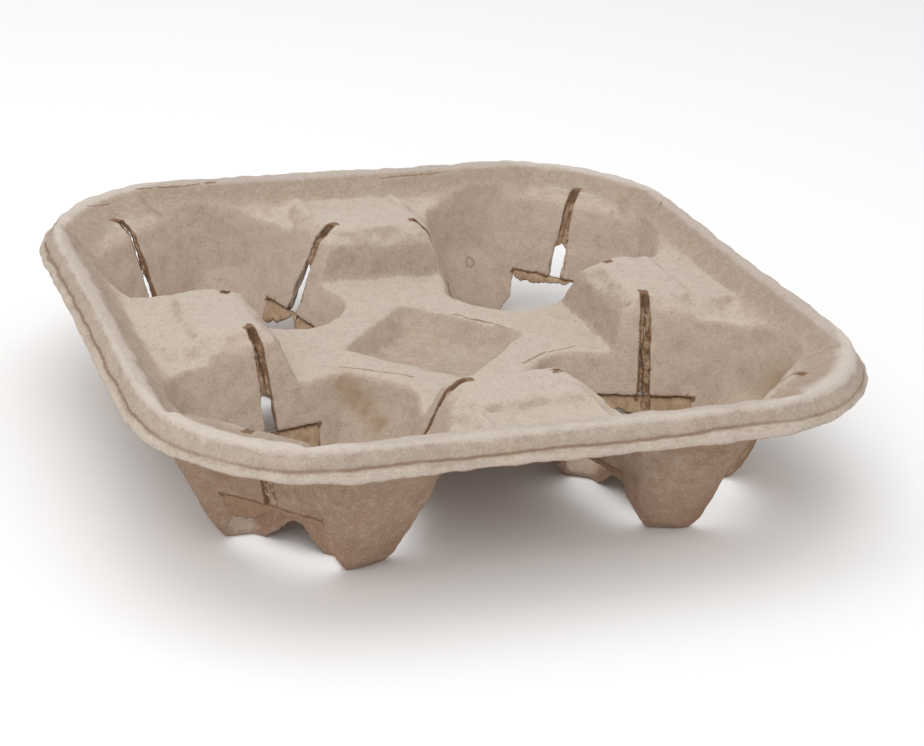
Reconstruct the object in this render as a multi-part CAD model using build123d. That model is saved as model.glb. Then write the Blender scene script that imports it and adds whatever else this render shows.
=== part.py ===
from build123d import *
import os
from math import cos, radians, sin, sqrt, tan

# A carrier for four cups, moulded in one piece from paper pulp.
# Millimetres. The origin is on the floor at the middle of the tray, +X right, +Y back, +Z up.
# The pulp is one skin of even thickness. Each form is a hollow seen from above, and the same hollow
# grown by the wall is its underside. The tray is all the grown forms less all the hollows.

# Skin
WALL = 1.9

# Rim, measured over the lip
TRAY_WIDTH = 213.0
TRAY_HEIGHT = 49.5
LIP_CORNER = 50.7
LIP_HEIGHT = 1.9
LIP_FLARE = 1.6
RIM_DROP = 8.3
RIM_LEAN = 2.4
CREST_WIDTH = 2.6
CREST_ROUND = 1.4

# Land, the level that the cup hollows open from
LAND_DROP = 3.9
LAND_SLOPE = 23.4

# Cup hollows: round lobes and flat sides, both leaning outward, three feet below
CUP_PITCH = 102.4
LOBE_FOOT = 24.5
LOBE_MOUTH = 42.0
LOBE_BULGE = 4.0
FLAT_FOOT = 17.4
FLAT_MOUTH = 35.0
FLAT_COUNT = 3
FLAT_BLEND = 8.0
BEVEL_TURN = 24.0
FOOT_BEVEL = 2.2
MOUTH_DEPTH = 4.0
MOUTH_FLARE = 3.0

# Raised floor in the middle of each cup hollow
FLOOR_RISE = 9.0
FLOOR_RADIUS = 12.5
FLOOR_SLOPE = 61.0

# T-shaped cut in each flat side: a slit above, a scooped opening below
SLIT_TOP_WIDTH = 1.2
SLIT_LOW_WIDTH = 3.2
SLIT_REACH = 38.8
CUT_TOP = 17.5
CUT_RADIUS = 15.0
CUT_CENTRE = 27.0
GAP_START = 12.8
GAP_HEIGHT = 9.0
GAP_TOP_ANGLE = 33.0
GAP_FOOT_ANGLE = 48.0

# Basin between the cups, with the sunk square well in its floor
BASIN_HALF = 49.5
BASIN_CORNER = 10.0
BASIN_DROP = 19.3
BASIN_SLOPE = 74.0
BROW_DEPTH = 5.0
BROW_SLOPE = 40.0
WELL_HALF = 15.5
WELL_CORNER = 3.0
WELL_DEPTH = 6.2
WELL_SLOPE = 48.0
EDGE_ROUND = 2.4

# Gutter inside the rim, along each side, with a deeper end at each cup hollow
GUTTER_SLOPE = 40.0
GUTTER_DEPTH = 3.0
GUTTER_INNER = 79.0
GUTTER_OUTER = 91.3
GUTTER_REACH = 14.0
SHOULDER_DEPTH = 5.8
SHOULDER_INNER = 76.0
SHOULDER_START = 22.0
SHOULDER_END = 60.0

# Follow from the dimensions above
land_z = TRAY_HEIGHT - LAND_DROP
rim_z = TRAY_HEIGHT - RIM_DROP
basin_z = TRAY_HEIGHT - BASIN_DROP
lip_half = TRAY_WIDTH / 2
side_half = lip_half - LIP_FLARE
crest_half = side_half - RIM_LEAN
land_half = crest_half - CREST_WIDTH - LAND_DROP / tan(radians(LAND_SLOPE))
flare_z = rim_z + LIP_HEIGHT
side_z = flare_z + LIP_FLARE


def rim_outline(half, z):
    """Rounded square concentric with the lip, at height z."""
    return Pos(0, 0, z) * RectangleRounded(2 * half, 2 * half, LIP_CORNER - lip_half + half)


def hollow(half_x, half_y, corner, z, slope, top, grow, spread=0):
    """Flat-bottomed hollow with sides at `slope` from level, grown all round by `grow`."""
    side = grow / sin(radians(slope))
    low = side - grow / tan(radians(slope))
    high = side + (top - z) / tan(radians(slope))
    faces = []
    for out, level in ((low, z - grow), (high, top)):
        outline = Rectangle(2 * (half_x + out), 2 * (half_y + out))
        if corner:
            outline = fillet(outline.vertices(), corner + grow + spread * (out - grow))
        faces.append(Pos(0, 0, level) * outline)
    return loft(faces, ruled=True)


def rim_body(shrink):
    """Everything inside the rim's outer face, taken in by `shrink`."""
    levels = [(lip_half, rim_z), (lip_half, flare_z), (side_half, side_z), (crest_half, TRAY_HEIGHT - CREST_ROUND),
              (crest_half - CREST_ROUND * (1 - sqrt(0.5)), TRAY_HEIGHT - CREST_ROUND * (1 - sqrt(0.5))),
              (crest_half - CREST_ROUND, TRAY_HEIGHT)]
    if shrink:
        levels = levels[:3] + [(crest_half, TRAY_HEIGHT - shrink)]
    return loft([rim_outline(half - shrink, z) for half, z in levels], ruled=True)


def land_hollow(grow):
    corner = LIP_CORNER - lip_half + land_half
    return hollow(land_half, land_half, corner, land_z, LAND_SLOPE, TRAY_HEIGHT, grow, spread=1)


def lobe_radius(z):
    """Radius of the lobes at height z, on a side that bulges outward in the middle of its height."""
    share = z / land_z
    return LOBE_FOOT + (LOBE_MOUTH - LOBE_FOOT) * share + 4 * LOBE_BULGE * share * (1 - share)


def flat_place(z):
    """Distance of the flat sides from the cup's axis at height z, opening wider at the mouth."""
    near_mouth = min(1, max(0, (z - land_z + MOUTH_DEPTH) / MOUTH_DEPTH))
    return FLAT_FOOT + (FLAT_MOUTH - FLAT_FOOT) * z / land_z + MOUTH_FLARE * near_mouth


def side_outline(radius, flat, blend):
    """Outline of the flat sides, each with a bevel at its ends in place of a round of radius `blend`."""
    across = flat - blend
    along = sqrt((radius - blend) ** 2 - across ** 2)
    turn, half_turn = radians(BEVEL_TURN), radians(180 / FLAT_COUNT)
    bevel = blend + across * cos(turn) + along * sin(turn)
    end = (bevel - flat * cos(turn)) / sin(turn)
    tip = bevel / cos(half_turn - turn)
    points = []
    for side in range(FLAT_COUNT):
        for point in ((flat, -end), (flat, end), (tip * cos(half_turn), tip * sin(half_turn))):
            points.append(Vector(*point).rotate(Axis.Z, 360 / FLAT_COUNT * side))
    return Polygon(*points, align=None)


def cup_hollow(grow):
    """Lobed hollow for one cup about its own axis, first flat side toward +X."""
    foot_z, mouth_z = WALL + FOOT_BEVEL, land_z - MOUTH_DEPTH
    levels = [foot_z, (foot_z + mouth_z) / 2, mouth_z, land_z]
    sizes = [(WALL - grow, lobe_radius(WALL) - FOOT_BEVEL, flat_place(WALL))]
    sizes += [(z, lobe_radius(z), flat_place(z)) for z in levels]
    sizes += [(TRAY_HEIGHT + grow, lobe_radius(land_z), flat_place(land_z))]
    out = grow * sqrt(1 + ((FLAT_MOUTH - FLAT_FOOT) / land_z) ** 2)
    sides = [Pos(0, 0, z) * side_outline(radius + out, flat + out, FLAT_BLEND + grow) for z, radius, flat in sizes]
    wall = [(radius + out, z) for z, radius, flat in sizes]
    outline = Polyline((0, WALL - grow), *wall, (0, TRAY_HEIGHT + grow), close=True)
    return revolve(Plane.XZ * make_face(outline), Axis.Z) & loft(sides, ruled=True)


def cup_floor(shrink):
    """Raised floor of a cup hollow, taken in by `shrink`."""
    top = FLOOR_RISE - shrink
    radius = FLOOR_RADIUS + shrink / tan(radians(FLOOR_SLOPE)) - shrink / sin(radians(FLOOR_SLOPE))
    low = -WALL
    base = radius + (top - low) / tan(radians(FLOOR_SLOPE))
    return Pos(0, 0, low) * Cone(base, radius, top - low, align=(Align.CENTER, Align.CENTER, Align.MIN))


def cup_spots():
    """Places of the four cup hollows, each turned so that one flat side faces its own corner."""
    half = CUP_PITCH / 2
    return [Pos(half, half, 0) * Rot(0, 0, 45), Pos(-half, half, 0) * Rot(0, 0, 135),
            Pos(-half, -half, 0) * Rot(0, 0, 225), Pos(half, -half, 0) * Rot(0, 0, 315)]


def gutter(grow):
    """Hollow along the rim side that faces +X: shallow at the saddle, deeper at each cup hollow."""
    middle, half_width = (GUTTER_INNER + GUTTER_OUTER) / 2, (GUTTER_OUTER - GUTTER_INNER) / 2
    body = Pos(middle, 0, 0) * hollow(half_width, GUTTER_REACH, 0, land_z - GUTTER_DEPTH, GUTTER_SLOPE,
                                      TRAY_HEIGHT, grow)
    outer = GUTTER_OUTER - (SHOULDER_DEPTH - GUTTER_DEPTH) / tan(radians(GUTTER_SLOPE))
    middle, half_width = (SHOULDER_INNER + outer) / 2, (outer - SHOULDER_INNER) / 2
    place, half_length = (SHOULDER_END + SHOULDER_START) / 2, (SHOULDER_END - SHOULDER_START) / 2
    shoulder = hollow(half_width, half_length, 0, land_z - SHOULDER_DEPTH, GUTTER_SLOPE, TRAY_HEIGHT, grow)
    return body + [Pos(middle, side * place, 0) * shoulder for side in (-1, 1)]


def ridge_edges(body, floor_z):
    """Edges in the basin's floor, and those between the cup hollows and the basin's sides."""
    edges = []
    for edge in body.edges():
        box = edge.bounding_box()
        if abs(box.min.Z - floor_z) < WALL / 10 and box.max.Z < land_z - WALL:
            edges.append(edge)
    return edges


def hollows(grow):
    """All that lies above the skin for grow 0, and the skin's underside for grow WALL."""
    cup = cup_hollow(grow) - cup_floor(grow)
    basin = hollow(BASIN_HALF, BASIN_HALF, BASIN_CORNER, basin_z, BASIN_SLOPE, TRAY_HEIGHT, grow)
    brow_half = BASIN_HALF + (land_z - BROW_DEPTH - basin_z) / tan(radians(BASIN_SLOPE))
    brow = hollow(brow_half, brow_half, BASIN_CORNER, land_z - BROW_DEPTH, BROW_SLOPE, TRAY_HEIGHT, grow)
    well = hollow(WELL_HALF, WELL_HALF, WELL_CORNER, basin_z - WELL_DEPTH, WELL_SLOPE, land_z, grow)
    body = land_hollow(grow) + [spot * cup for spot in cup_spots()]
    body = body + basin + brow + Rot(0, 0, 45) * well
    body = body + [Rot(0, 0, 90 * turn) * gutter(grow) for turn in range(4)]
    return fillet(ridge_edges(body, basin_z - grow), EDGE_ROUND - grow)


def side_cut():
    """Slit and scooped opening in the flat side that faces +X."""
    slit = Plane.YZ * Polygon((-SLIT_LOW_WIDTH / 2, 0), (SLIT_LOW_WIDTH / 2, 0),
                              (SLIT_TOP_WIDTH / 2, TRAY_HEIGHT), (-SLIT_TOP_WIDTH / 2, TRAY_HEIGHT), align=None)
    slit = Pos(FLAT_FOOT, 0, CUT_TOP - WALL) * extrude(slit, SLIT_REACH - FLAT_FOOT)
    scoop = Pos(CUT_CENTRE, 0, -WALL) * Cylinder(CUT_RADIUS, CUT_TOP + WALL,
                                                 align=(Align.CENTER, Align.CENTER, Align.MIN))
    gap = []
    for z, angle in ((-WALL, GAP_FOOT_ANGLE), (GAP_HEIGHT, GAP_TOP_ANGLE)):
        near, far = GAP_START * tan(radians(angle)), SLIT_REACH * tan(radians(angle))
        gap.append(Pos(0, 0, z) * Polygon((GAP_START, -near), (SLIT_REACH, -far), (SLIT_REACH, far),
                                          (GAP_START, near), align=None))
    gap = loft(gap, ruled=True)
    return [slit, scoop, gap]


def tray_solid():
    under = hollows(WALL)
    below_land = Pos(0, 0, land_z / 2) * Box(TRAY_WIDTH, TRAY_WIDTH, land_z)
    skin = rim_body(0) - (rim_body(WALL) - under)
    skin = skin + (under & below_land) - hollows(0)
    cuts = []
    for spot in cup_spots():
        for turn in range(FLAT_COUNT):
            cuts += [spot * Rot(0, 0, 360 / FLAT_COUNT * turn) * cut for cut in side_cut()]
    return skin - cuts


tray = tray_solid()
tray.label = "pulp_tray"
tray.color = Color(0.66, 0.58, 0.51)

os.makedirs("parts", exist_ok=True)
export_step(tray, "parts/pulp_tray.step")
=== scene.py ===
"""A moulded pulp carrier for four cups, on a plain pale floor."""

from math import cos, radians, sin

import bmesh
import bpy
import numpy as np
from mathutils import Matrix, Vector


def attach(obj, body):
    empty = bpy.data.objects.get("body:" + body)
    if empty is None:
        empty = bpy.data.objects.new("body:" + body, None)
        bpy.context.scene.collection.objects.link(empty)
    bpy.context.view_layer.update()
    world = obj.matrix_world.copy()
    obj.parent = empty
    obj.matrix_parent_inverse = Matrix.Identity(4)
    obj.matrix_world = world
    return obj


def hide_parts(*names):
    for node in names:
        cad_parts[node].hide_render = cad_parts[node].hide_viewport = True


bl_info = {
    "name": "Pulp cup carrier",
    "version": (1, 0, 0),
    "blender": (4, 5, 0),
    "location": "View3D > Sidebar > Carrier",
    "description": "Builds a moulded pulp carrier for four cups and its studio",
    "category": "Add Mesh",
}

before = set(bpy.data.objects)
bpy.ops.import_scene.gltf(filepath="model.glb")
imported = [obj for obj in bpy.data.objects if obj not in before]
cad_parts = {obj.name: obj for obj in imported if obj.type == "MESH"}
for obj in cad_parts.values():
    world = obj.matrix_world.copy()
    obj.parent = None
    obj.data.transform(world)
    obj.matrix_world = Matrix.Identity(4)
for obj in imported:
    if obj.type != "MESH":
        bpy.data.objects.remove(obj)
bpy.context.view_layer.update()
NODE = "pulp_tray"
MM = 0.001

# Forms of the CAD tray that the looks follow, in millimetres. Cup hollows: place, and the direction in
# degrees of the first of three flat sides, which lean out from their foot and flare at the mouth
CUP_SPOTS = [(51.2, 51.2, 45), (-51.2, 51.2, 135), (-51.2, -51.2, 225), (51.2, -51.2, 315)]
FLAT_COUNT = 3
WALL, LAND_Z = 1.9, 45.6
SIDE_FOOT, SIDE_LEAN, MOUTH_DEPTH, MOUTH_FLARE = 17.4, 17.6 / 45.6, 4.0, 3.0
# Slits: their top and far end, their width at the ground and what they lose with height; and the T-shaped
# openings below them: the height of the crossbar and half its length
SLIT_TOP, SLIT_END = 47.0, 41.0
SLIT_LOW, SLIT_NARROWING = 3.2, 2.0 / 49.5
SCOOP_TOP, SCOOP_RADIUS = 17.5, 15.0
# Rim: half widths at the foot of its slope and at its crest, the radius of its corners, the heights of the
# groove's dent and of its dark line, and the middle of the lip below
RIM_INNER, RIM_CREST, RIM_CORNER = 90.9, 102.5, 44.0
GROOVE_Z, GROOVE_LINE_Z, LIP_Z = 44.5, 44.4, 42.3
# Basin: half width and lowest height of the region where a face that looks away from a cup is still pressed
BASIN_HALF, BASIN_LOW_Z = 53.0, 23.5

# Fibres left in each T-shaped cut, by cup and flat side: heights between which the slit is open, its extra
# width there, the width of the crack elsewhere, and how far the torn lip hangs below the crossbar, from one
# end to the other
FRAYS = {
    (0, 0): (18.0, 28.5, 1.7, 0.06, (0.6, 0.8, 1.6, 2.6, 2.8)),
    (0, 1): (18.0, 26.0, 0.6, 0.20, (3.0, 2.5, 2.0, 3.5, 4.0)),
    (0, 2): (18.0, 27.0, 0.5, 0.20, (2.5, 3.0, 1.5, 2.0, 3.0)),
    (1, 0): (20.5, 28.5, 0.3, 0.04, (1.4, 1.8, 1.0, 0.8, 0.8)),
    (1, 1): (18.0, 26.0, 0.4, 0.20, (3.0, 2.0, 1.5, 3.0, 3.5)),
    (1, 2): (16.0, 33.0, 2.3, 0.06, (6.0, 5.5, 0.8, 5.0, 7.0)),
    (2, 0): (19.5, 21.5, 0.0, 0.10, (7.5, 6.8, 0.8, 1.2, 4.0)),
    (2, 1): (18.0, 19.0, 0.0, 0.30, (3.0, 4.0, 3.5, 3.0, 3.0)),
    (2, 2): (18.0, 28.5, 0.8, 0.14, (7.5, 5.2, 6.5, 4.0, 4.0)),
    (3, 0): (18.0, 27.0, 0.5, 0.16, (2.0, 1.5, 1.0, 2.5, 3.0)),
    (3, 1): (18.0, 18.5, 1.2, 0.05, (7.5, 7.5, 6.5, 3.4, 8.0)),
    (3, 2): (18.0, 24.0, 0.3, 0.20, (3.0, 2.0, 3.0, 2.5, 3.5)),
}
# Torn fibres: spacing of their rings; depths of the two webs of a slit and of the lip in the wall, and half
# their thickness, as shares of the wall; how far a web reaches into the wall beside its slit, and the lip
# above its crossbar; the points round each; the ends of the lip, how far its halves overlap, and half the
# length that its profile is given for
RING_STEP = 0.3
WEB_DEPTHS, WEB_THICKNESS, WEB_ROOT, WEB_POINTS = (0.42, 0.68), 0.20, 0.9, 12
LIP_DEPTH, LIP_THICKNESS, LIP_ROOT, LIP_POINTS = 0.70, 0.26, 0.5, 14
LIP_END, LIP_OVERLAP, LIP_SPAN = 15.3, 0.3, 14

# Brown stains: the middle of each, its radius and its strength; they fade out below the rim
STAINS = [
    ((80, -88, 4), 46, 1.0),
    ((92, -70, 22), 38, 1.0),
    ((-98, -72, 24), 26, 0.6),
    ((-33.6, -18.1, 27.2), 5.6, 0.8),
    ((-31.0, -20.6, 23.6), 5.4, 1.0),
    ((-28.6, -23.2, 20.4), 5.0, 1.0),
    ((-26.3, -27.0, 17.6), 5.0, 0.9),
]

# Fine dark creases and marks in the pressed surface: the ends of each, and its half width
CREASES = [
    ((-68.5, 98.2, 48.4), (-52.6, 98.2, 48.4), 0.16),
    ((-52.6, 98.2, 48.4), (-42.4, 98.8, 48.9), 0.22),
    ((-87.2, 84.1, 48.7), (-80.2, 87.5, 47.7), 0.12),
    ((-80.2, 87.5, 47.7), (-74.6, 92.6, 48.3), 0.12),
    ((14.3, 97.1, 47.5), (36.0, 97.5, 47.8), 0.10),
    ((12.5, 18.2, 30.1), (17.1, 13.1, 30.0), 0.14),
    ((17.1, 13.1, 30.0), (22.2, 8.5, 30.1), 0.26),
    ((22.2, 8.5, 30.1), (29.0, -1.2, 30.2), 0.10),
    ((19.8, -22.3, 30.2), (29.4, -16.1, 30.2), 0.18),
    ((29.4, -16.1, 30.2), (40.7, -14.0, 30.2), 0.10),
    ((-33.7, -13.3, 30.2), (-23.8, -18.4, 30.2), 0.16),
    ((-23.8, -18.4, 30.2), (-15.2, -24.5, 30.2), 0.10),
    ((13.0, -61.6, 45.6), (13.8, -61.2, 45.6), 0.60),
    ((-97.8, 52.0, 47.8), (-97.2, 52.6, 47.9), 0.45),
    ((98.0, 52.6, 48.4), (98.5, 53.2, 48.6), 0.35),
    ((55.5, -15.5, 43.0), (58.5, -15.7, 43.9), 0.10),
]
RING_PLACE, RING_RADIUS, RING_WIDTH = (44.5, 85.8, 19.1), 1.6, 0.22

# Heights in millimetres over which a mark or a movement sets in or fades out
HOLLOW_RISE, HOLLOW_FADE, LEG_FADE = (3, 9), (43, 46.5), (36, 41)
RIDGE_RISE, CREST_RISE, CREST_LIGHT = (28.5, 30.2), (47.3, 48.6), (47.9, 49.0)
GROUND_RISE, MOUTH_RISE, WEB_DARKENING, STAIN_FADE = (0.4, 6.0), (33, 38), (39.5, 43.5), (30, 40)
# Distances from a cup's axis at which the slits and the openings below them start
SLIT_START, SCOOP_START = 14, 10

# Layers of waves in the surface: length in millimetres, seed, number of waves, and share of the height set
DRIFT_LAYERS = [(46, 3, 14, 1), (17, 5, 14, 0.35)]
LUMP_LAYERS = [(5.2, 7, 14, 1), (2.4, 11, 18, 0.8), (9.5, 31, 14, 2.6)]
STRAY_LAYERS = [(5.5, 13, 14, 0.6), (2.2, 17, 18, 0.5)]
SLOW_LENGTH, SLOW_SEEDS = 60, (21, 22, 23)

# Colours that are not among the settings: the underside, the feet, the painted highlight on the crest, stains
# and loose fibres
ROUGH_PALE, ROUGH_DARK, FOOT_BROWN = (0.42, 0.31, 0.23), (0.235, 0.135, 0.078), (0.330, 0.170, 0.098)
CREST_HIGHLIGHT = (0.700, 0.640, 0.600)
STAIN_ABOVE, STAIN_BELOW = (0.350, 0.240, 0.125), (0.270, 0.145, 0.075)
# The colour used on the fibres' edges is painted shade, along the cracks and towards the tops of the slits.
FIBRE_DEEP, FIBRE_EDGE_SHADE, FIBRE_LIP = (0.075, 0.038, 0.020), (0.095, 0.048, 0.024), (0.540, 0.395, 0.265)
FIBRE_OUTER_PALE, FIBRE_OUTER_DARK = (0.420, 0.285, 0.205), (0.255, 0.145, 0.090)

# Stage in metres. Lamps: size, place and target. Camera: place, and the directions of its right and its top
KEY_LAMP = (0.9, (-0.10, 0.12, 0.95), (0, 0, 0))
FILL_LAMP = (0.7, (-0.55, -0.75, 0.92), (0, 0, 0.02))
FLOOR_HALF = 3.0
CAMERA_PLACE = (-0.210861, -0.547857, 0.279076)
CAMERA_RIGHT, CAMERA_TOP = (0.935615, -0.347780, 0.060616), (0.089071, 0.398708, 0.912742)
SENSOR_WIDTH, NEAREST = 36.0, 0.01

# The steps of weight from the mouths to the rest
MOUTH_STEPS = 8


def colour_setting(name, description, default):
    return bpy.props.FloatVectorProperty(
        name=name, description=description, subtype="COLOR", size=3, default=default, min=0, max=1)


def length_setting(name, description, default, **limits):
    return bpy.props.FloatProperty(
        name=name, description=description, default=default * MM, unit="LENGTH", precision=5,
        **(limits or {"min": 0}))


class TraySettings(bpy.types.PropertyGroup):
    """Sizes and colours of the moulded skin."""

    grain: length_setting("Mesh grain", "Size of the mesh the pulp surface is made from", 0.62,
                          min=0.4 * MM, max=2 * MM)
    faces: bpy.props.IntProperty(
        name="Most triangles", description="Triangles left in the finished skin", default=192000, min=20000)
    softness: bpy.props.IntProperty(
        name="Softness", description="Passes of smoothing that round the moulded edges", default=2, min=0)
    rounding: bpy.props.IntProperty(
        name="Rounding", description="Passes of smoothing that round the mouths of the hollows", default=22,
        min=0)
    wave: length_setting("Wave height", "Height of the slow waves left by drying", 0.30)
    lumps: length_setting("Lump height", "Height of the small lumps of fibre", 0.075)
    ragged: length_setting("Ragged edges", "How far the torn edges of the slits stray", 0.30)
    groove: length_setting("Lip groove", "Depth of the groove above the lip of the rim", 0.35)
    pulp: colour_setting("Pulp", "Colour of the pressed upper side", (0.424, 0.338, 0.272))
    pale: colour_setting("Pale fibre", "Colour of the palest fibres", (0.600, 0.520, 0.440))
    dark: colour_setting("Dark fibre", "Colour of the darkest fibres", (0.260, 0.190, 0.145))
    warm: colour_setting("Warm patch", "Colour of the warmer patches", (0.500, 0.360, 0.270))
    # The stain colour also paints the shade on the rim's slope and in the groove.
    stain: colour_setting("Stain", "Colour of the browner stains and the rim's slope", (0.330, 0.245, 0.180))
    # Painted light: the walls of the hollows lean to this paler colour, against the shade that falls in them.
    inner: colour_setting("Inner wall", "Colour that the walls of the hollows lean to", (0.690, 0.560, 0.460))
    rough: colour_setting("Rough side", "Colour of the browner underside and legs", (0.335, 0.205, 0.132))
    # The torn colour also paints the thin line of shade along the groove.
    torn: colour_setting("Torn edge", "Colour of torn edges and creases", (0.200, 0.110, 0.060))
    fibre: colour_setting("Loose fibre", "Colour of the fibres left in the cuts", (0.470, 0.330, 0.215))


class StudioSettings(bpy.types.PropertyGroup):
    """Floor, lamps and camera."""

    floor: colour_setting("Floor", "Colour of the floor", (0.97, 0.97, 0.97))
    key: bpy.props.FloatProperty(
        name="Key lamp", description="Power of the large lamp overhead", default=3.1, min=0, unit="POWER")
    fill: bpy.props.FloatProperty(
        name="Fill lamp", description="Power of the lamp beside the camera", default=3.9, min=0, unit="POWER")
    world: bpy.props.FloatProperty(
        name="Room light", description="Strength of the light from all round", default=0.69, min=0)
    lens: bpy.props.FloatProperty(
        name="Lens", description="Focal length in millimetres", default=82.878, min=10)


class Socket:
    """An output socket that takes part in Python expressions and adds the Math nodes they need."""

    def __init__(self, shader, output):
        self.shader, self.output = shader, output

    def join(self, operation, *values):
        return self.shader.join(operation, *values)

    def __add__(self, other):
        return self.join("ADD", self, other)

    def __sub__(self, other):
        return self.join("SUBTRACT", self, other)

    def __rsub__(self, other):
        return self.join("SUBTRACT", other, self)

    def __mul__(self, other):
        return self.join("MULTIPLY", self, other)

    def larger(self, other):
        return self.join("MAXIMUM", self, other)

    def ramp(self, low, high):
        """0 below `low`, 1 above `high`, with a soft step between."""
        settings = {"interpolation_type": "SMOOTHSTEP", "clamp": True}
        return self.shader.node("ShaderNodeMapRange", settings, {0: self, 1: low, 2: high, 3: 0.0, 4: 1.0})

    __radd__, __rmul__ = __add__, __mul__


class Shader:
    """A material's node tree, whose nodes all come from one method."""

    def __init__(self, name):
        self.material = bpy.data.materials.new(name)
        self.material.use_nodes = True
        self.tree = self.material.node_tree
        self.tree.nodes.clear()

    def node(self, kind, settings=None, inputs=None, output=0):
        made = self.tree.nodes.new(kind)
        for name, value in (settings or {}).items():
            setattr(made, name, value)
        for key, value in (inputs or {}).items():
            if isinstance(value, Socket):
                self.tree.links.new(value.output, made.inputs[key])
            else:
                made.inputs[key].default_value = value
        return Socket(self, made.outputs[output]) if made.outputs else None

    def join(self, operation, *values):
        return self.node("ShaderNodeMath", {"operation": operation}, dict(enumerate(values)))

    def place(self):
        return self.node("ShaderNodeTexCoord", output="Object")

    def noise(self, place, size, detail=3.0, roughness=0.55, stretch=(1, 1, 1), shift=(0, 0, 0)):
        """Noise from about 0.25 to 0.75, whose patches are `size` metres across."""
        scale = Vector(stretch) / size
        moved = self.node("ShaderNodeMapping", {"vector_type": "POINT"}, {0: place, 1: shift, 3: scale})
        return self.node("ShaderNodeTexNoise", {"noise_dimensions": "3D"},
                         {"Vector": moved, "Scale": 1.0, "Detail": detail, "Roughness": roughness})

    def mix(self, factor, first, second):
        """Colour mix; a plain colour is three numbers."""
        first, second = (v if isinstance(v, Socket) else (*v, 1.0) for v in (first, second))
        return self.node("ShaderNodeMix", {"data_type": "RGBA"}, {0: factor, 6: first, 7: second}, output=2)

    def mark(self, name):
        return self.node("ShaderNodeAttribute", {"attribute_name": name}, output="Fac")

    def vector(self, operation, *values, output=0):
        return self.node("ShaderNodeVectorMath", {"operation": operation}, dict(enumerate(values)), output)

    def scaled(self, vector, share):
        return self.node("ShaderNodeVectorMath", {"operation": "SCALE"}, {0: vector, "Scale": share})

    def strayed(self, place, reach, size):
        """The place, moved by up to half of `reach` each way by noise whose patches are `size` across."""
        stray = self.node("ShaderNodeTexNoise", {"noise_dimensions": "3D"},
                          {"Vector": place, "Scale": 1 / size, "Detail": 2.0}, output="Color")
        return self.vector("ADD", place, self.vector("SUBTRACT", self.scaled(stray, reach), [reach / 2] * 3))

    def ring(self, place):
        """1 on the round mark pressed into the back wall."""
        distance = self.vector("DISTANCE", place, Vector(RING_PLACE) * MM, output=1)
        off = self.join("ABSOLUTE", distance - RING_RADIUS * MM)
        return (1 - off.ramp(RING_WIDTH * MM, (RING_WIDTH + 0.3) * MM)) * 0.6

    def crease(self, place, start, end, width):
        """1 on the line from `start` to `end`, 0 a little beyond `width` from it; all in metres."""
        line = end - start
        away = self.vector("SUBTRACT", place, start)
        share = self.vector("DOT_PRODUCT", away, line / line.length_squared, output=1).larger(0.0)
        share = share.join("MINIMUM", share, 1.0)
        distance = self.vector("DISTANCE", away, self.scaled(line, share), output=1)
        return 1 - distance.ramp(width, width + 0.3 * MM)

    def bump(self, relief, strength, depth):
        return self.node("ShaderNodeBump", {}, {"Strength": strength, "Distance": depth, "Height": relief})

    def surface(self, colour, roughness, normal, gloss):
        inputs = {"Base Color": colour, "Roughness": roughness, "Normal": normal, "Specular IOR Level": gloss}
        shaded = self.node("ShaderNodeBsdfPrincipled", {}, inputs)
        self.node("ShaderNodeOutputMaterial", {}, {"Surface": shaded})
        return self.material


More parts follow.
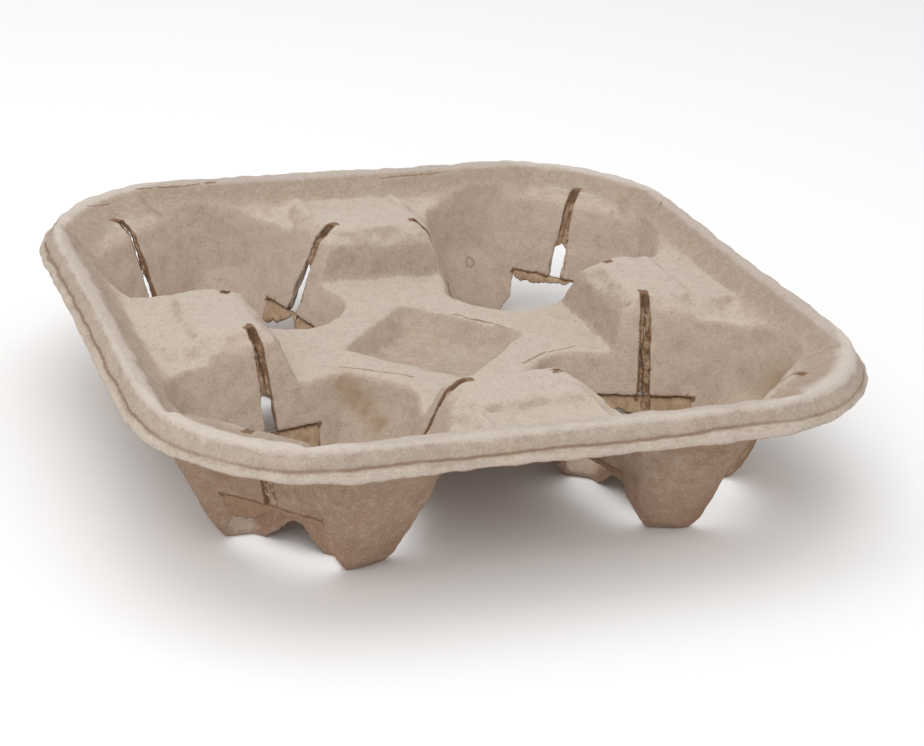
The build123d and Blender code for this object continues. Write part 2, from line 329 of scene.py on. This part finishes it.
def pulp_material(settings):
    """Dry moulded pulp: mottled grey-brown with specks of fibre, browner on the rough side and where torn."""
    shader = Shader("pulp")
    place = shader.place()
    patches = shader.noise(place, 34 * MM, 3.0)
    warm = shader.noise(place, 16 * MM, 3.0, shift=(5, 1, 3))
    stain = shader.noise(place, 7.5 * MM, 4.0, 0.6, shift=(3, 8, 2))
    mottle = shader.noise(place, 2.6 * MM, 4.0, 0.68)
    grain = shader.noise(place, 0.62 * MM, 3.0, 0.75, shift=(1, 7, 5))
    speck = shader.noise(place, 1.1 * MM, 2.0, 0.6)
    fibre_x = shader.noise(place, 0.42 * MM, 2.0, stretch=(0.16, 1, 1))
    fibre_y = shader.noise(place, 0.42 * MM, 2.0, stretch=(1, 0.16, 1), shift=(9, 4, 2))
    height = shader.node("ShaderNodeSeparateXYZ", {}, {0: place}, output=2)
    underside = shader.mark("underside")

    colour = shader.mix(patches.ramp(0.35, 0.68) * 0.25, settings.pulp, settings.pale)
    colour = shader.mix(warm.ramp(0.50, 0.68) * 0.35, colour, settings.warm)
    colour = shader.mix(stain.ramp(0.50, 0.66) * 0.32, colour, settings.stain)
    # Painted top light: the upward-facing tops, the crest and the lip band are made paler, mixed with mottle.
    top_light_and_mottle = (shader.mark("pressed") * 1.25 + (mottle - 0.5) * 0.7 + (warm - 0.5) * 0.9).ramp(0.15, 1.0)
    colour = shader.mix(top_light_and_mottle * 0.70, colour, settings.pale)
    # Painted light: the inner walls of the hollows are made paler, against the shade that falls in them.
    colour = shader.mix(shader.mark("hollow") * 0.45, colour, settings.inner)
    # Painted shade on the rim's slope and in the groove, in the stain colour.
    colour = shader.mix(shader.mark("shaded") * 0.55, colour, settings.stain)
    rough = shader.mix(patches.ramp(0.38, 0.66) * 0.6, settings.rough, ROUGH_PALE)
    rough = shader.mix(stain.ramp(0.50, 0.64) * 0.5, rough, ROUGH_DARK)
    low = 1 - (height + (warm - 0.5) * 24 * MM).ramp(4 * MM, 26 * MM)
    rough = shader.mix(low * 0.45, rough, FOOT_BROWN)
    colour = shader.mix(underside * 0.85, colour, rough)
    colour = shader.mix(mottle.ramp(0.48, 0.68) * 0.24, colour, settings.pale)
    colour = shader.mix((1 - mottle).ramp(0.50, 0.70) * 0.22, colour, settings.dark)
    light_fibre = fibre_x.ramp(0.58, 0.70).larger(fibre_y.ramp(0.58, 0.70))
    colour = shader.mix(grain.ramp(0.50, 0.66) * 0.30, colour, settings.pale)
    colour = shader.mix((1 - grain).ramp(0.50, 0.66) * 0.30, colour, settings.dark)
    colour = shader.mix(light_fibre * 0.22, colour, settings.pale)
    colour = shader.mix((1 - speck).ramp(0.60, 0.74) * 0.30, colour, settings.dark)
    # Painted shade: a thin dark line along the groove on the rim's outer face, in the torn colour.
    above_groove = height + (patches - 0.5) * 2.4 * MM + (mottle - 0.5) * 0.5 * MM - GROOVE_LINE_Z * MM
    line = 1 - shader.join("ABSOLUTE", above_groove).ramp(0.10 * MM, 0.55 * MM)
    colour = shader.mix(line * shader.mark("outside") * 0.62, colour, settings.torn)
    # Painted highlight along the crest of the rim.
    colour = shader.mix(height.ramp(*(z * MM for z in CREST_LIGHT)) * 0.35, colour, CREST_HIGHLIGHT)
    brown = shader.mix(underside, STAIN_ABOVE, STAIN_BELOW)
    colour = shader.mix(shader.mark("stained") * (0.25 + mottle * 0.9), colour, brown)
    strayed = shader.strayed(place, MM, 2.5 * MM)
    crease = shader.ring(strayed)
    for start, end, width in CREASES:
        crease = crease.larger(shader.crease(strayed, Vector(start) * MM, Vector(end) * MM, width * MM))
    colour = shader.mix(crease * (0.35 + grain * 0.7), colour, settings.torn)
    ragged = (shader.mark("torn") + (grain - 0.5) * 0.5 + (mottle - 0.5) * 0.6).ramp(0.30, 0.75)
    colour = shader.mix(ragged * 0.92, colour, settings.torn)

    relief = grain * 0.4 + mottle * 1.2 + stain * 1.6 + light_fibre * 0.2
    return shader.surface(colour, 0.90 + (mottle - 0.5) * 0.12, shader.bump(relief, 0.6, 0.36 * MM), 0.18)


def fibre_material(settings):
    """Loose brown fibres of torn pulp."""
    shader = Shader("torn_fibres")
    place = shader.place()
    speck = shader.noise(place, 0.7 * MM, 3.0, 0.7)
    clump = shader.noise(place, 2.6 * MM, 3.0, 0.6, shift=(2, 6, 1))
    patches = shader.noise(place, 11 * MM, 2.0, shift=(7, 1, 4))
    colour = shader.mix(clump.ramp(0.40, 0.62) * 0.85, settings.torn, settings.fibre)
    colour = shader.mix(patches.ramp(0.45, 0.62) * 0.5, colour, settings.fibre)
    colour = shader.mix(speck.ramp(0.52, 0.70) * 0.45, colour, settings.pulp)
    colour = shader.mix((1 - speck).ramp(0.52, 0.68) * 0.45, colour, FIBRE_DEEP)
    colour = shader.mix(shader.mark("lip") * (0.25 + clump * 0.7), colour, FIBRE_LIP)
    # Painted shade along the crack between the webs, at the edges of the lips and towards the tops of the
    # slits.
    colour = shader.mix((shader.mark("edge") + (speck - 0.5)).ramp(0.45, 0.95) * 0.8, colour, FIBRE_EDGE_SHADE)
    outer = shader.mix(speck.ramp(0.45, 0.66) * 0.45, settings.rough, FIBRE_OUTER_PALE)
    outer = shader.mix((1 - clump).ramp(0.48, 0.62) * 0.4, outer, FIBRE_OUTER_DARK)
    colour = shader.mix(shader.mark("outer") * 0.92, colour, outer)
    return shader.surface(colour, 0.95, shader.bump(speck * 0.7 + clump * 0.8, 0.8, 0.4 * MM), 0.15)


def waves(places, size, seed, count=14):
    """Smooth noise of about -1 to 1 at each place: a sum of waves near `size` long in seeded directions."""
    random = np.random.default_rng(seed)
    total = np.zeros(len(places))
    for _ in range(count):
        direction = random.normal(size=3)
        direction *= 2 * np.pi / (size * random.uniform(0.7, 1.5) * np.linalg.norm(direction))
        total += np.sin(places @ direction + random.uniform(0, 2 * np.pi))
    return total / np.sqrt(count / 2) / 1.6


def layered(places, layers, height=1.0):
    """Sum of several layers of waves, each given as length, seed, number of waves and share of `height`."""
    total = np.zeros(len(places))
    for size, seed, count, share in layers:
        total += waves(places, size, seed, count) * height * share
    return total


def soft_step(value, low, high):
    """0 below `low`, 1 above `high`, with a soft step between."""
    share = np.clip((value - low) / (high - low), 0, 1)
    return share * share * (3 - 2 * share)


def side_place(z):
    """Distance of a flat side's inner face from its cup's axis, at height z."""
    return SIDE_FOOT + SIDE_LEAN * z + MOUTH_FLARE * np.clip((z - LAND_Z + MOUTH_DEPTH) / MOUTH_DEPTH, 0, 1)


def slit_half(z):
    """Half the width of a slit at height z."""
    return (SLIT_LOW - SLIT_NARROWING * z) / 2


def opened(z, fray):
    """Share by which a slit is open at height z."""
    low, high = fray[:2]
    return soft_step(z, low - 1.5, low + 0.5) * (1 - soft_step(z, high - 2.5, high + 1.0))


def frayed_half(z, fray):
    """What fraying adds to half the width of a slit at height z."""
    return fray[2] / 2 * (0.35 + 0.65 * opened(z, fray))


def slit_marks(places):
    """For each place in millimetres: how near it is to a torn edge, the way across its slit if it has one,
    and the slit's extra width."""
    near = np.zeros(len(places))
    across = np.zeros((len(places), 3))
    wider = np.zeros(len(places))
    for cup, (x, y, turn) in enumerate(CUP_SPOTS):
        for side in range(FLAT_COUNT):
            angle = radians(turn + 360 / FLAT_COUNT * side)
            out = (places[:, 0] - x) * cos(angle) + (places[:, 1] - y) * sin(angle)
            along = -(places[:, 0] - x) * sin(angle) + (places[:, 1] - y) * cos(angle)
            z = places[:, 2]
            half = slit_half(z)
            inside = (out > SLIT_START) & (out < SLIT_END) & (z < SLIT_TOP)
            slit = (1 - soft_step(np.abs(along) - half, 0.15, 1.5)) * inside * (z > SCOOP_TOP - 1.5)
            rounded = (out > SCOOP_START) & (out < SLIT_END + 1) & (np.abs(along) < SCOOP_RADIUS + 1)
            scoop = (1 - soft_step(np.abs(z - SCOOP_TOP), 0.15, 1.6)) * rounded
            closer = slit > near
            near = np.maximum(near, np.maximum(slit, scoop))
            across[closer] = (-sin(angle), cos(angle), 0)
            fray = FRAYS[cup, side]
            wider[closer] = (np.sign(along) * frayed_half(z, fray) * slit)[closer]
    return near, across, wider


def outward_share(places, normals):
    """How squarely each place faces away from the axis of the nearest cup, from -1 to 1."""
    shares = np.zeros(len(places))
    nearest = np.full(len(places), 1e9)
    for x, y, _turn in CUP_SPOTS:
        away = places[:, :2] - (x, y)
        distance = np.linalg.norm(away, axis=1)
        outward = (away * normals[:, :2]).sum(axis=1) / np.maximum(distance, 0.1)
        closer = distance < nearest
        shares[closer] = outward[closer]
        nearest = np.minimum(nearest, distance)
    return shares


def hollow_light_marks(places, normals):
    """1 on the inner walls of the cup hollows, which painted light makes paler against the shade that falls
    in them.
    """
    inward = soft_step(-outward_share(places, normals), 0.25, 0.75)
    return inward * (1 - soft_step(places[:, 2], *HOLLOW_FADE)) * soft_step(places[:, 2], *HOLLOW_RISE)


def underside_marks(places, normals):
    """1 on the rough outer side of the legs and under the basin, 0 on the pressed upper side."""
    legs = soft_step(outward_share(places, normals), -0.1, 0.35) * (1 - soft_step(places[:, 2], *LEG_FADE))
    reach = np.abs(places[:, :2]).max(axis=1)
    in_basin = (reach < BASIN_HALF) & (places[:, 2] > BASIN_LOW_Z) & (normals[:, 2] > -0.3)
    below = soft_step(-normals[:, 2], 0.15, 0.6)
    return np.maximum(legs * ~in_basin, below)


def rounded_reach(places, half):
    """Half width of the rounded square through each place, of the kind whose half width is `half`."""
    straight = np.abs(places[:, :2])
    corner = half - RIM_CORNER
    return np.maximum(straight.max(axis=1), np.hypot(*np.maximum(straight - corner, 0).T) + corner)


def rim_slope_marks(places):
    """1 on the slope between the land and the crest of the rim."""
    reach = rounded_reach(places, RIM_INNER)
    return soft_step(reach, RIM_INNER - 1, RIM_INNER + 2) * (1 - soft_step(reach, RIM_CREST - 1.5, RIM_CREST))


def top_light_marks(places, normals):
    """Painted top light: 1 on the flat upward-facing tops of the ridges, saddles and crest, and on the lip
    band, which are painted paler.
    """
    tops = soft_step(normals[:, 2], 0.60, 0.97) * soft_step(places[:, 2], *RIDGE_RISE)
    crest = soft_step(places[:, 2], *CREST_RISE) * soft_step(normals[:, 2], 0.05, 0.5)
    lip = 0.7 * (1 - soft_step(np.abs(places[:, 2] - LIP_Z), 0.9, 1.6)) * lip_outside(places)
    return np.maximum(np.maximum(tops, crest * 1.2) * (1 - rim_slope_marks(places)), lip)


def stain_marks(places):
    """The strength of the brown stains at each place."""
    marks = np.zeros(len(places))
    for middle, radius, strength in STAINS:
        distance = np.linalg.norm(places - middle, axis=1) + waves(places, radius * 0.6, 41) * radius * 0.25
        marks = np.maximum(marks, strength * (1 - soft_step(distance / radius, 0.1, 1.0)))
    return marks * (1 - soft_step(places[:, 2], *STAIN_FADE))


def lip_outside(places):
    """1 on the outer face of the rim."""
    return soft_step(rounded_reach(places, RIM_CREST), RIM_CREST + 0.6, RIM_CREST + 2.0)


def groove_marks(places):
    """1 along the groove between the rim's face and its lip."""
    line = GROOVE_Z + waves(places * (1, 1, 0), 70, 41) * 0.35
    return (1 - soft_step(np.abs(places[:, 2] - line), 0.15, 1.1)) * lip_outside(places)


def arrays(mesh):
    """Places and normals of the mesh's vertices, a row each."""
    places = np.empty(len(mesh.vertices) * 3, dtype=np.float32)
    normals = np.empty(len(mesh.vertices) * 3, dtype=np.float32)
    mesh.vertices.foreach_get("co", places)
    mesh.vertices.foreach_get("normal", normals)
    return places.reshape(-1, 3).astype(np.float64), normals.reshape(-1, 3).astype(np.float64)


def set_places(mesh, places):
    mesh.vertices.foreach_set("co", places.astype(np.float32).ravel())
    mesh.update()


def set_mark(mesh, name, values):
    mesh.attributes.new(name, "FLOAT", "POINT").data.foreach_set("value", values.astype(np.float32))


def applied(piece):
    """The piece's mesh with its modifiers applied."""
    graph = bpy.context.evaluated_depsgraph_get()
    mesh = bpy.data.meshes.new_from_object(piece.evaluated_get(graph))
    piece.modifiers.clear()
    old = piece.data
    piece.data = mesh
    bpy.data.meshes.remove(old)
    return mesh


def ring_turns(count):
    return np.linspace(0, 2 * np.pi, count, endpoint=False)


def tube_mesh(name, tubes):
    """Mesh of closed tubes, each an array of rings of equally many points."""
    places, faces, first = [], [], 0
    for rings in tubes:
        rows, count = rings.shape[:2]
        places.append(rings.reshape(-1, 3))
        for row in range(rows - 1):
            for step in range(count):
                near, far = first + row * count, first + (row + 1) * count
                after = (step + 1) % count
                faces.append((near + step, near + after, far + after, far + step))
        faces.append(tuple(first + step for step in reversed(range(count))))
        faces.append(tuple(first + (rows - 1) * count + step for step in range(count)))
        first += rows * count
    mesh = bpy.data.meshes.new(name)
    mesh.from_pydata(np.concatenate(places).tolist(), [], faces)
    shape = bmesh.new()
    shape.from_mesh(mesh)
    bmesh.ops.recalc_face_normals(shape, faces=shape.faces)
    shape.to_mesh(mesh)
    shape.free()
    mesh.shade_smooth()
    return mesh


def triangles(mesh):
    return sum(len(face.vertices) - 2 for face in mesh.polygons)


class CARRIER_OT_skin(bpy.types.Operator):
    """Make the moulded skin from the frame's tray"""

    bl_idname = "carrier.skin"
    bl_label = "Moulded skin"

    def execute(self, context):
        settings = context.scene.carrier_tray
        piece = self.merged_copy(context)
        self.make_fine(piece, settings)
        self.soften_mouths(piece, settings)
        self.roughen(piece.data, settings)
        count = triangles(piece.data)
        if count > settings.faces:
            piece.modifiers.new("thin", "DECIMATE").ratio = settings.faces / count
            applied(piece)
        mesh = piece.data
        mesh.shade_smooth()
        self.set_marks(mesh)
        mesh.materials.clear()
        mesh.materials.append(pulp_material(settings))
        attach(piece, "root")
        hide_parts(NODE)
        return {"FINISHED"}

    def merged_copy(self, context):
        """A copy of the CAD tray whose loose triangles are merged."""
        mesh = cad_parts[NODE].data.copy()
        mesh.name = "pulp_skin"
        shape = bmesh.new()
        shape.from_mesh(mesh)
        bmesh.ops.remove_doubles(shape, verts=shape.verts, dist=0.004 * MM)
        shape.to_mesh(mesh)
        shape.free()
        piece = bpy.data.objects.new("pulp_skin", mesh)
        context.scene.collection.objects.link(piece)
        return piece

    def make_fine(self, piece, settings):
        remesh = piece.modifiers.new("grain", "REMESH")
        remesh.mode = "VOXEL"
        remesh.voxel_size = settings.grain * 1
        smooth = piece.modifiers.new("soft", "SMOOTH")
        smooth.factor = 0.5
        smooth.iterations = settings.softness
        applied(piece)

    def soften_mouths(self, piece, settings):
        """Round the edges of the hollows, the saddles and the gutters, away from the slits."""
        places = arrays(piece.data)[0] / MM
        inside = 1 - soft_step(np.abs(places[:, :2]).max(axis=1), RIM_CREST - 5, RIM_CREST - 2)
        weights = soft_step(places[:, 2], *MOUTH_RISE) * inside * (1 - slit_marks(places)[0])
        group = piece.vertex_groups.new(name="mouths")
        steps = np.round(weights * MOUTH_STEPS).astype(int)
        for step in range(1, MOUTH_STEPS + 1):
            group.add(np.nonzero(steps == step)[0].tolist(), step / MOUTH_STEPS, "REPLACE")
        smooth = piece.modifiers.new("mouths", "SMOOTH")
        smooth.factor = 0.5
        smooth.iterations = settings.rounding
        smooth.vertex_group = group.name
        applied(piece)
        piece.vertex_groups.clear()

    def roughen(self, mesh, settings):
        """Move the surface: slow waves, lumps, strayed edges of the slits and crossbars, and the groove."""
        places, normals = arrays(mesh)
        places /= MM
        near, across, wider = slit_marks(places)
        drift = layered(places, DRIFT_LAYERS, settings.wave)
        lumps = layered(places, LUMP_LAYERS, settings.lumps)
        stray = layered(places, STRAY_LAYERS)
        raised = soft_step(places[:, 2], *GROUND_RISE)
        slow = np.stack([waves(places, SLOW_LENGTH, seed) for seed in SLOW_SEEDS], axis=1) * settings.wave
        on_crossbar = np.abs(across[:, 0]) + np.abs(across[:, 1]) < 0.5
        places *= MM
        places += slow * raised[:, None] + normals * (lumps * (0.4 + 0.6 * raised))[:, None]
        places += across * (near * stray * settings.ragged + wider * MM)[:, None]
        places[:, 2] += near * on_crossbar * stray * settings.ragged
        places -= normals * (groove_marks(places / MM) * settings.groove)[:, None]
        places[:, 2] += drift * raised * 0.3
        places[:, 2] = np.maximum(places[:, 2], 0)
        set_places(mesh, places)

    def set_marks(self, mesh):
        """Keep the feet on the floor, and write the marks that the pulp's material reads."""
        places, normals = arrays(mesh)
        places[:, 2] = np.maximum(places[:, 2], 0)
        set_places(mesh, places)
        places /= MM
        set_mark(mesh, "underside", underside_marks(places, normals))
        set_mark(mesh, "torn", slit_marks(places)[0])
        # The mark named pressed holds the painted top light on the upward-facing tops, crest and lip band.
        set_mark(mesh, "pressed", top_light_marks(places, normals))
        set_mark(mesh, "hollow", hollow_light_marks(places, normals))
        set_mark(mesh, "outside", lip_outside(places))
        set_mark(mesh, "stained", stain_marks(places))
        # Painted shade on the rim's slope and in the groove.
        slope = rim_slope_marks(places) * soft_step(normals[:, 2], 0.3, 0.8) * 0.8
        set_mark(mesh, "shaded", np.maximum(slope, groove_marks(places)))


class CARRIER_OT_fibres(bpy.types.Operator):
    """Make the torn fibres left in the T-shaped cuts"""

    bl_idname = "carrier.fibres"
    bl_label = "Torn fibres"

    def execute(self, context):
        settings = context.scene.carrier_tray
        tubes, hanging = [], []
        for (cup, side), fray in FRAYS.items():
            x, y, turn = CUP_SPOTS[cup]
            angle = radians(turn + 360 / FLAT_COUNT * side)
            out, along = np.array((cos(angle), sin(angle), 0)), np.array((-sin(angle), cos(angle), 0))
            seed = 100 + 10 * (cup * FLAT_COUNT + side)
            for is_lip, strips in ((False, self.webs(fray, seed)), (True, self.lips(fray, seed))):
                for rings in strips:
                    turned = rings[..., :1] * out + rings[..., 1:2] * along
                    tubes.append(turned + rings[..., 2:] * (0, 0, 1) + (x, y, 0))
                    hanging.append(is_lip)
        mesh = tube_mesh("torn_fibres", [tube * MM for tube in tubes])
        self.set_marks(mesh, tubes, hanging)
        piece = bpy.data.objects.new("torn_fibres", mesh)
        context.scene.collection.objects.link(piece)
        mesh.materials.append(fibre_material(settings))
        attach(piece, "root")
        return {"FINISHED"}

    def set_marks(self, mesh, tubes, hanging):
        """Write the marks that the fibres' material reads: the edges that take painted shade, the lips and
        their outer faces.
        """
        edges, lips, outer = [], [], []
        for tube, is_lip in zip(tubes, hanging):
            rows, count = tube.shape[:2]
            turns = ring_turns(count)
            thin = np.tile(np.abs(np.cos(turns)) ** 2, rows)
            edges.append(np.maximum(thin, soft_step(tube[..., 2].ravel(), *WEB_DARKENING)))
            lips.append(np.full(rows * count, is_lip))
            outer.append(np.tile(soft_step(np.sin(turns), -0.3, 0.5), rows) * is_lip)
        for name, values in (("edge", edges), ("lip", lips), ("outer", outer)):
            set_mark(mesh, name, np.concatenate(values))

    def webs(self, fray, seed):
        """Two ragged strips that close a slit above its open part but for the crack between them."""
        low = fray[0] - 5.5 * (fray[4][2] > 3)
        z = np.arange(low, LAND_Z - 0.2, RING_STEP)
        line = np.stack([np.full(len(z), seed), np.zeros(len(z)), z], axis=1)
        half = slit_half(z) + frayed_half(z, fray)
        crack = waves(line, 9, seed) * half * 0.45 + waves(line, 2.2, seed + 1) * 0.15
        gap = fray[3] * (waves(line, 3.5, seed + 2) - 0.9) + opened(z, fray) * 2.2 * half
        strips = []
        for sign, depth in zip((-1, 1), WEB_DEPTHS):
            edge = half + WEB_ROOT
            inner = np.minimum(sign * crack + np.maximum(gap, -0.4), edge - 0.05)
            strips.append(self.strip(z, sign * edge, sign * inner, depth, seed + 3 + sign))
        return strips

    def strip(self, z, edge, inner, depth, seed):
        """Rings round a thin strip at `depth` in the wall, between two lines across it."""
        turns = ring_turns(WEB_POINTS)
        middle, reach = (edge + inner) / 2, (inner - edge) / 2
        across = middle[:, None] + reach[:, None] * np.cos(turns)
        depth = side_place(z)[:, None] + WALL * (depth + WEB_THICKNESS * np.sin(turns))
        height = np.repeat(z[:, None], len(turns), axis=1)
        layers = [(1.6, seed, 18, 0.16), (4.0, seed + 5, 14, 0.12)]
        return self.roughened(depth, across, height, layers)

    def lips(self, fray, seed):
        """Torn lip in two halves that hangs below the crossbar, in the plane of the wall."""
        strips = []
        for low, high in ((-LIP_END, LIP_OVERLAP), (-LIP_OVERLAP, LIP_END)):
            u = np.arange(low, high, RING_STEP)
            line = np.stack([u, np.zeros(len(u)), np.full(len(u), seed)], axis=1)
            hang = np.interp(u, np.linspace(-LIP_SPAN, LIP_SPAN, len(fray[4])), fray[4])
            ends = soft_step(u, low - 0.2, low + 1.0) * (1 - soft_step(u, high - 1.0, high + 0.2))
            hang = hang + waves(line, 5, seed + 6) * 0.45 + waves(line, 1.7, seed + 7) * 0.30
            hang = np.maximum(hang, 0.15) * (0.6 + 0.4 * ends)
            turns = ring_turns(LIP_POINTS)
            z = SCOOP_TOP + LIP_ROOT - (hang + LIP_ROOT)[:, None] * (1 - np.cos(turns)) / 2
            depth = side_place(z) + WALL * (LIP_DEPTH + LIP_THICKNESS * np.sin(turns))
            across = np.repeat(u[:, None], len(turns), axis=1)
            layers = [(1.8, seed + 8, 18, 0.14), (5.0, seed + 9, 14, 0.15)]
            strips.append(self.roughened(depth, across, z, layers))
        return strips

    def roughened(self, depth, across, height, layers):
        """Rings from three arrays, moved in and out of the wall by layers of waves."""
        rings = np.stack([depth, across, height], axis=2)
        flat = rings.reshape(-1, 3)
        flat[:, 0] += layered(flat, layers)
        return rings


class CARRIER_OT_studio(bpy.types.Operator):
    """Set up the floor, the lamps and the camera"""

    bl_idname = "carrier.studio"
    bl_label = "Studio"

    def execute(self, context):
        settings = context.scene.carrier_studio
        scene = context.scene
        scene.view_settings.view_transform = "Standard"
        shape = bmesh.new()
        bmesh.ops.create_grid(shape, x_segments=1, y_segments=1, size=FLOOR_HALF)
        mesh = bpy.data.meshes.new("floor")
        shape.to_mesh(mesh)
        shape.free()
        floor = bpy.data.objects.new("floor", mesh)
        scene.collection.objects.link(floor)
        mesh.materials.append(self.floor_material(settings.floor))
        self.lamp(scene, "key", settings.key, *KEY_LAMP)
        self.lamp(scene, "fill", settings.fill, *FILL_LAMP)
        self.world(scene, settings.world)
        self.camera(scene, settings.lens)
        return {"FINISHED"}

    def camera(self, scene, lens):
        data = bpy.data.cameras.new("camera")
        data.lens, data.sensor_width, data.clip_start = lens, SENSOR_WIDTH, NEAREST
        camera = bpy.data.objects.new("camera", data)
        right, top = Vector(CAMERA_RIGHT), Vector(CAMERA_TOP)
        turn = Matrix((right, top, right.cross(top))).transposed().to_4x4()
        camera.matrix_world = Matrix.Translation(CAMERA_PLACE) @ turn
        scene.collection.objects.link(camera)
        scene.camera = camera

    def floor_material(self, colour):
        shader = Shader("floor")
        matt = shader.node("ShaderNodeBsdfDiffuse", {}, {"Color": (*colour, 1)})
        shader.node("ShaderNodeOutputMaterial", {}, {"Surface": matt})
        return shader.material

    def lamp(self, scene, name, power, size, place, target):
        data = bpy.data.lights.new(name, "AREA")
        data.energy, data.size = power, size
        lamp = bpy.data.objects.new(name, data)
        lamp.location = place
        aim = Vector(target) - Vector(place)
        lamp.rotation_euler = aim.to_track_quat("-Z", "Y").to_euler()
        scene.collection.objects.link(lamp)

    def world(self, scene, strength):
        """Even light from all round, which the camera sees as white."""
        world = bpy.data.worlds.new("room")
        world.use_nodes = True
        tree = world.node_tree
        back = tree.nodes["Background"]
        back.inputs[0].default_value = (1, 1, 1, 1)
        seen = tree.nodes.new("ShaderNodeLightPath")
        white = tree.nodes.new("ShaderNodeMapRange")
        white.inputs[3].default_value, white.inputs[4].default_value = strength, 1.0
        tree.links.new(seen.outputs["Is Camera Ray"], white.inputs[0])
        tree.links.new(white.outputs[0], back.inputs[1])
        scene.world = world


class CARRIER_PT_panel(bpy.types.Panel):
    """Sizes, colours and light of the carrier"""

    bl_idname = "CARRIER_PT_panel"
    bl_label = "Cup carrier"
    bl_space_type = "VIEW_3D"
    bl_region_type = "UI"
    bl_category = "Carrier"

    def draw(self, context):
        for settings, operators in ((context.scene.carrier_tray, ("carrier.skin", "carrier.fibres")),
                                    (context.scene.carrier_studio, ("carrier.studio",))):
            for name in settings.bl_rna.properties.keys():
                if name not in ("rna_type", "name"):
                    self.layout.prop(settings, name)
            for operator in operators:
                self.layout.operator(operator)


CLASSES = (TraySettings, StudioSettings, CARRIER_OT_studio, CARRIER_OT_skin, CARRIER_OT_fibres,
           CARRIER_PT_panel)


def register():
    for made in CLASSES:
        bpy.utils.register_class(made)
    bpy.types.Scene.carrier_tray = bpy.props.PointerProperty(type=TraySettings)
    bpy.types.Scene.carrier_studio = bpy.props.PointerProperty(type=StudioSettings)


def unregister():
    del bpy.types.Scene.carrier_tray
    del bpy.types.Scene.carrier_studio
    for made in reversed(CLASSES):
        bpy.utils.unregister_class(made)


def main():
    register()
    bpy.ops.carrier.studio()
    bpy.ops.carrier.skin()
    bpy.ops.carrier.fibres()


if __name__ == "__main__":
    main()
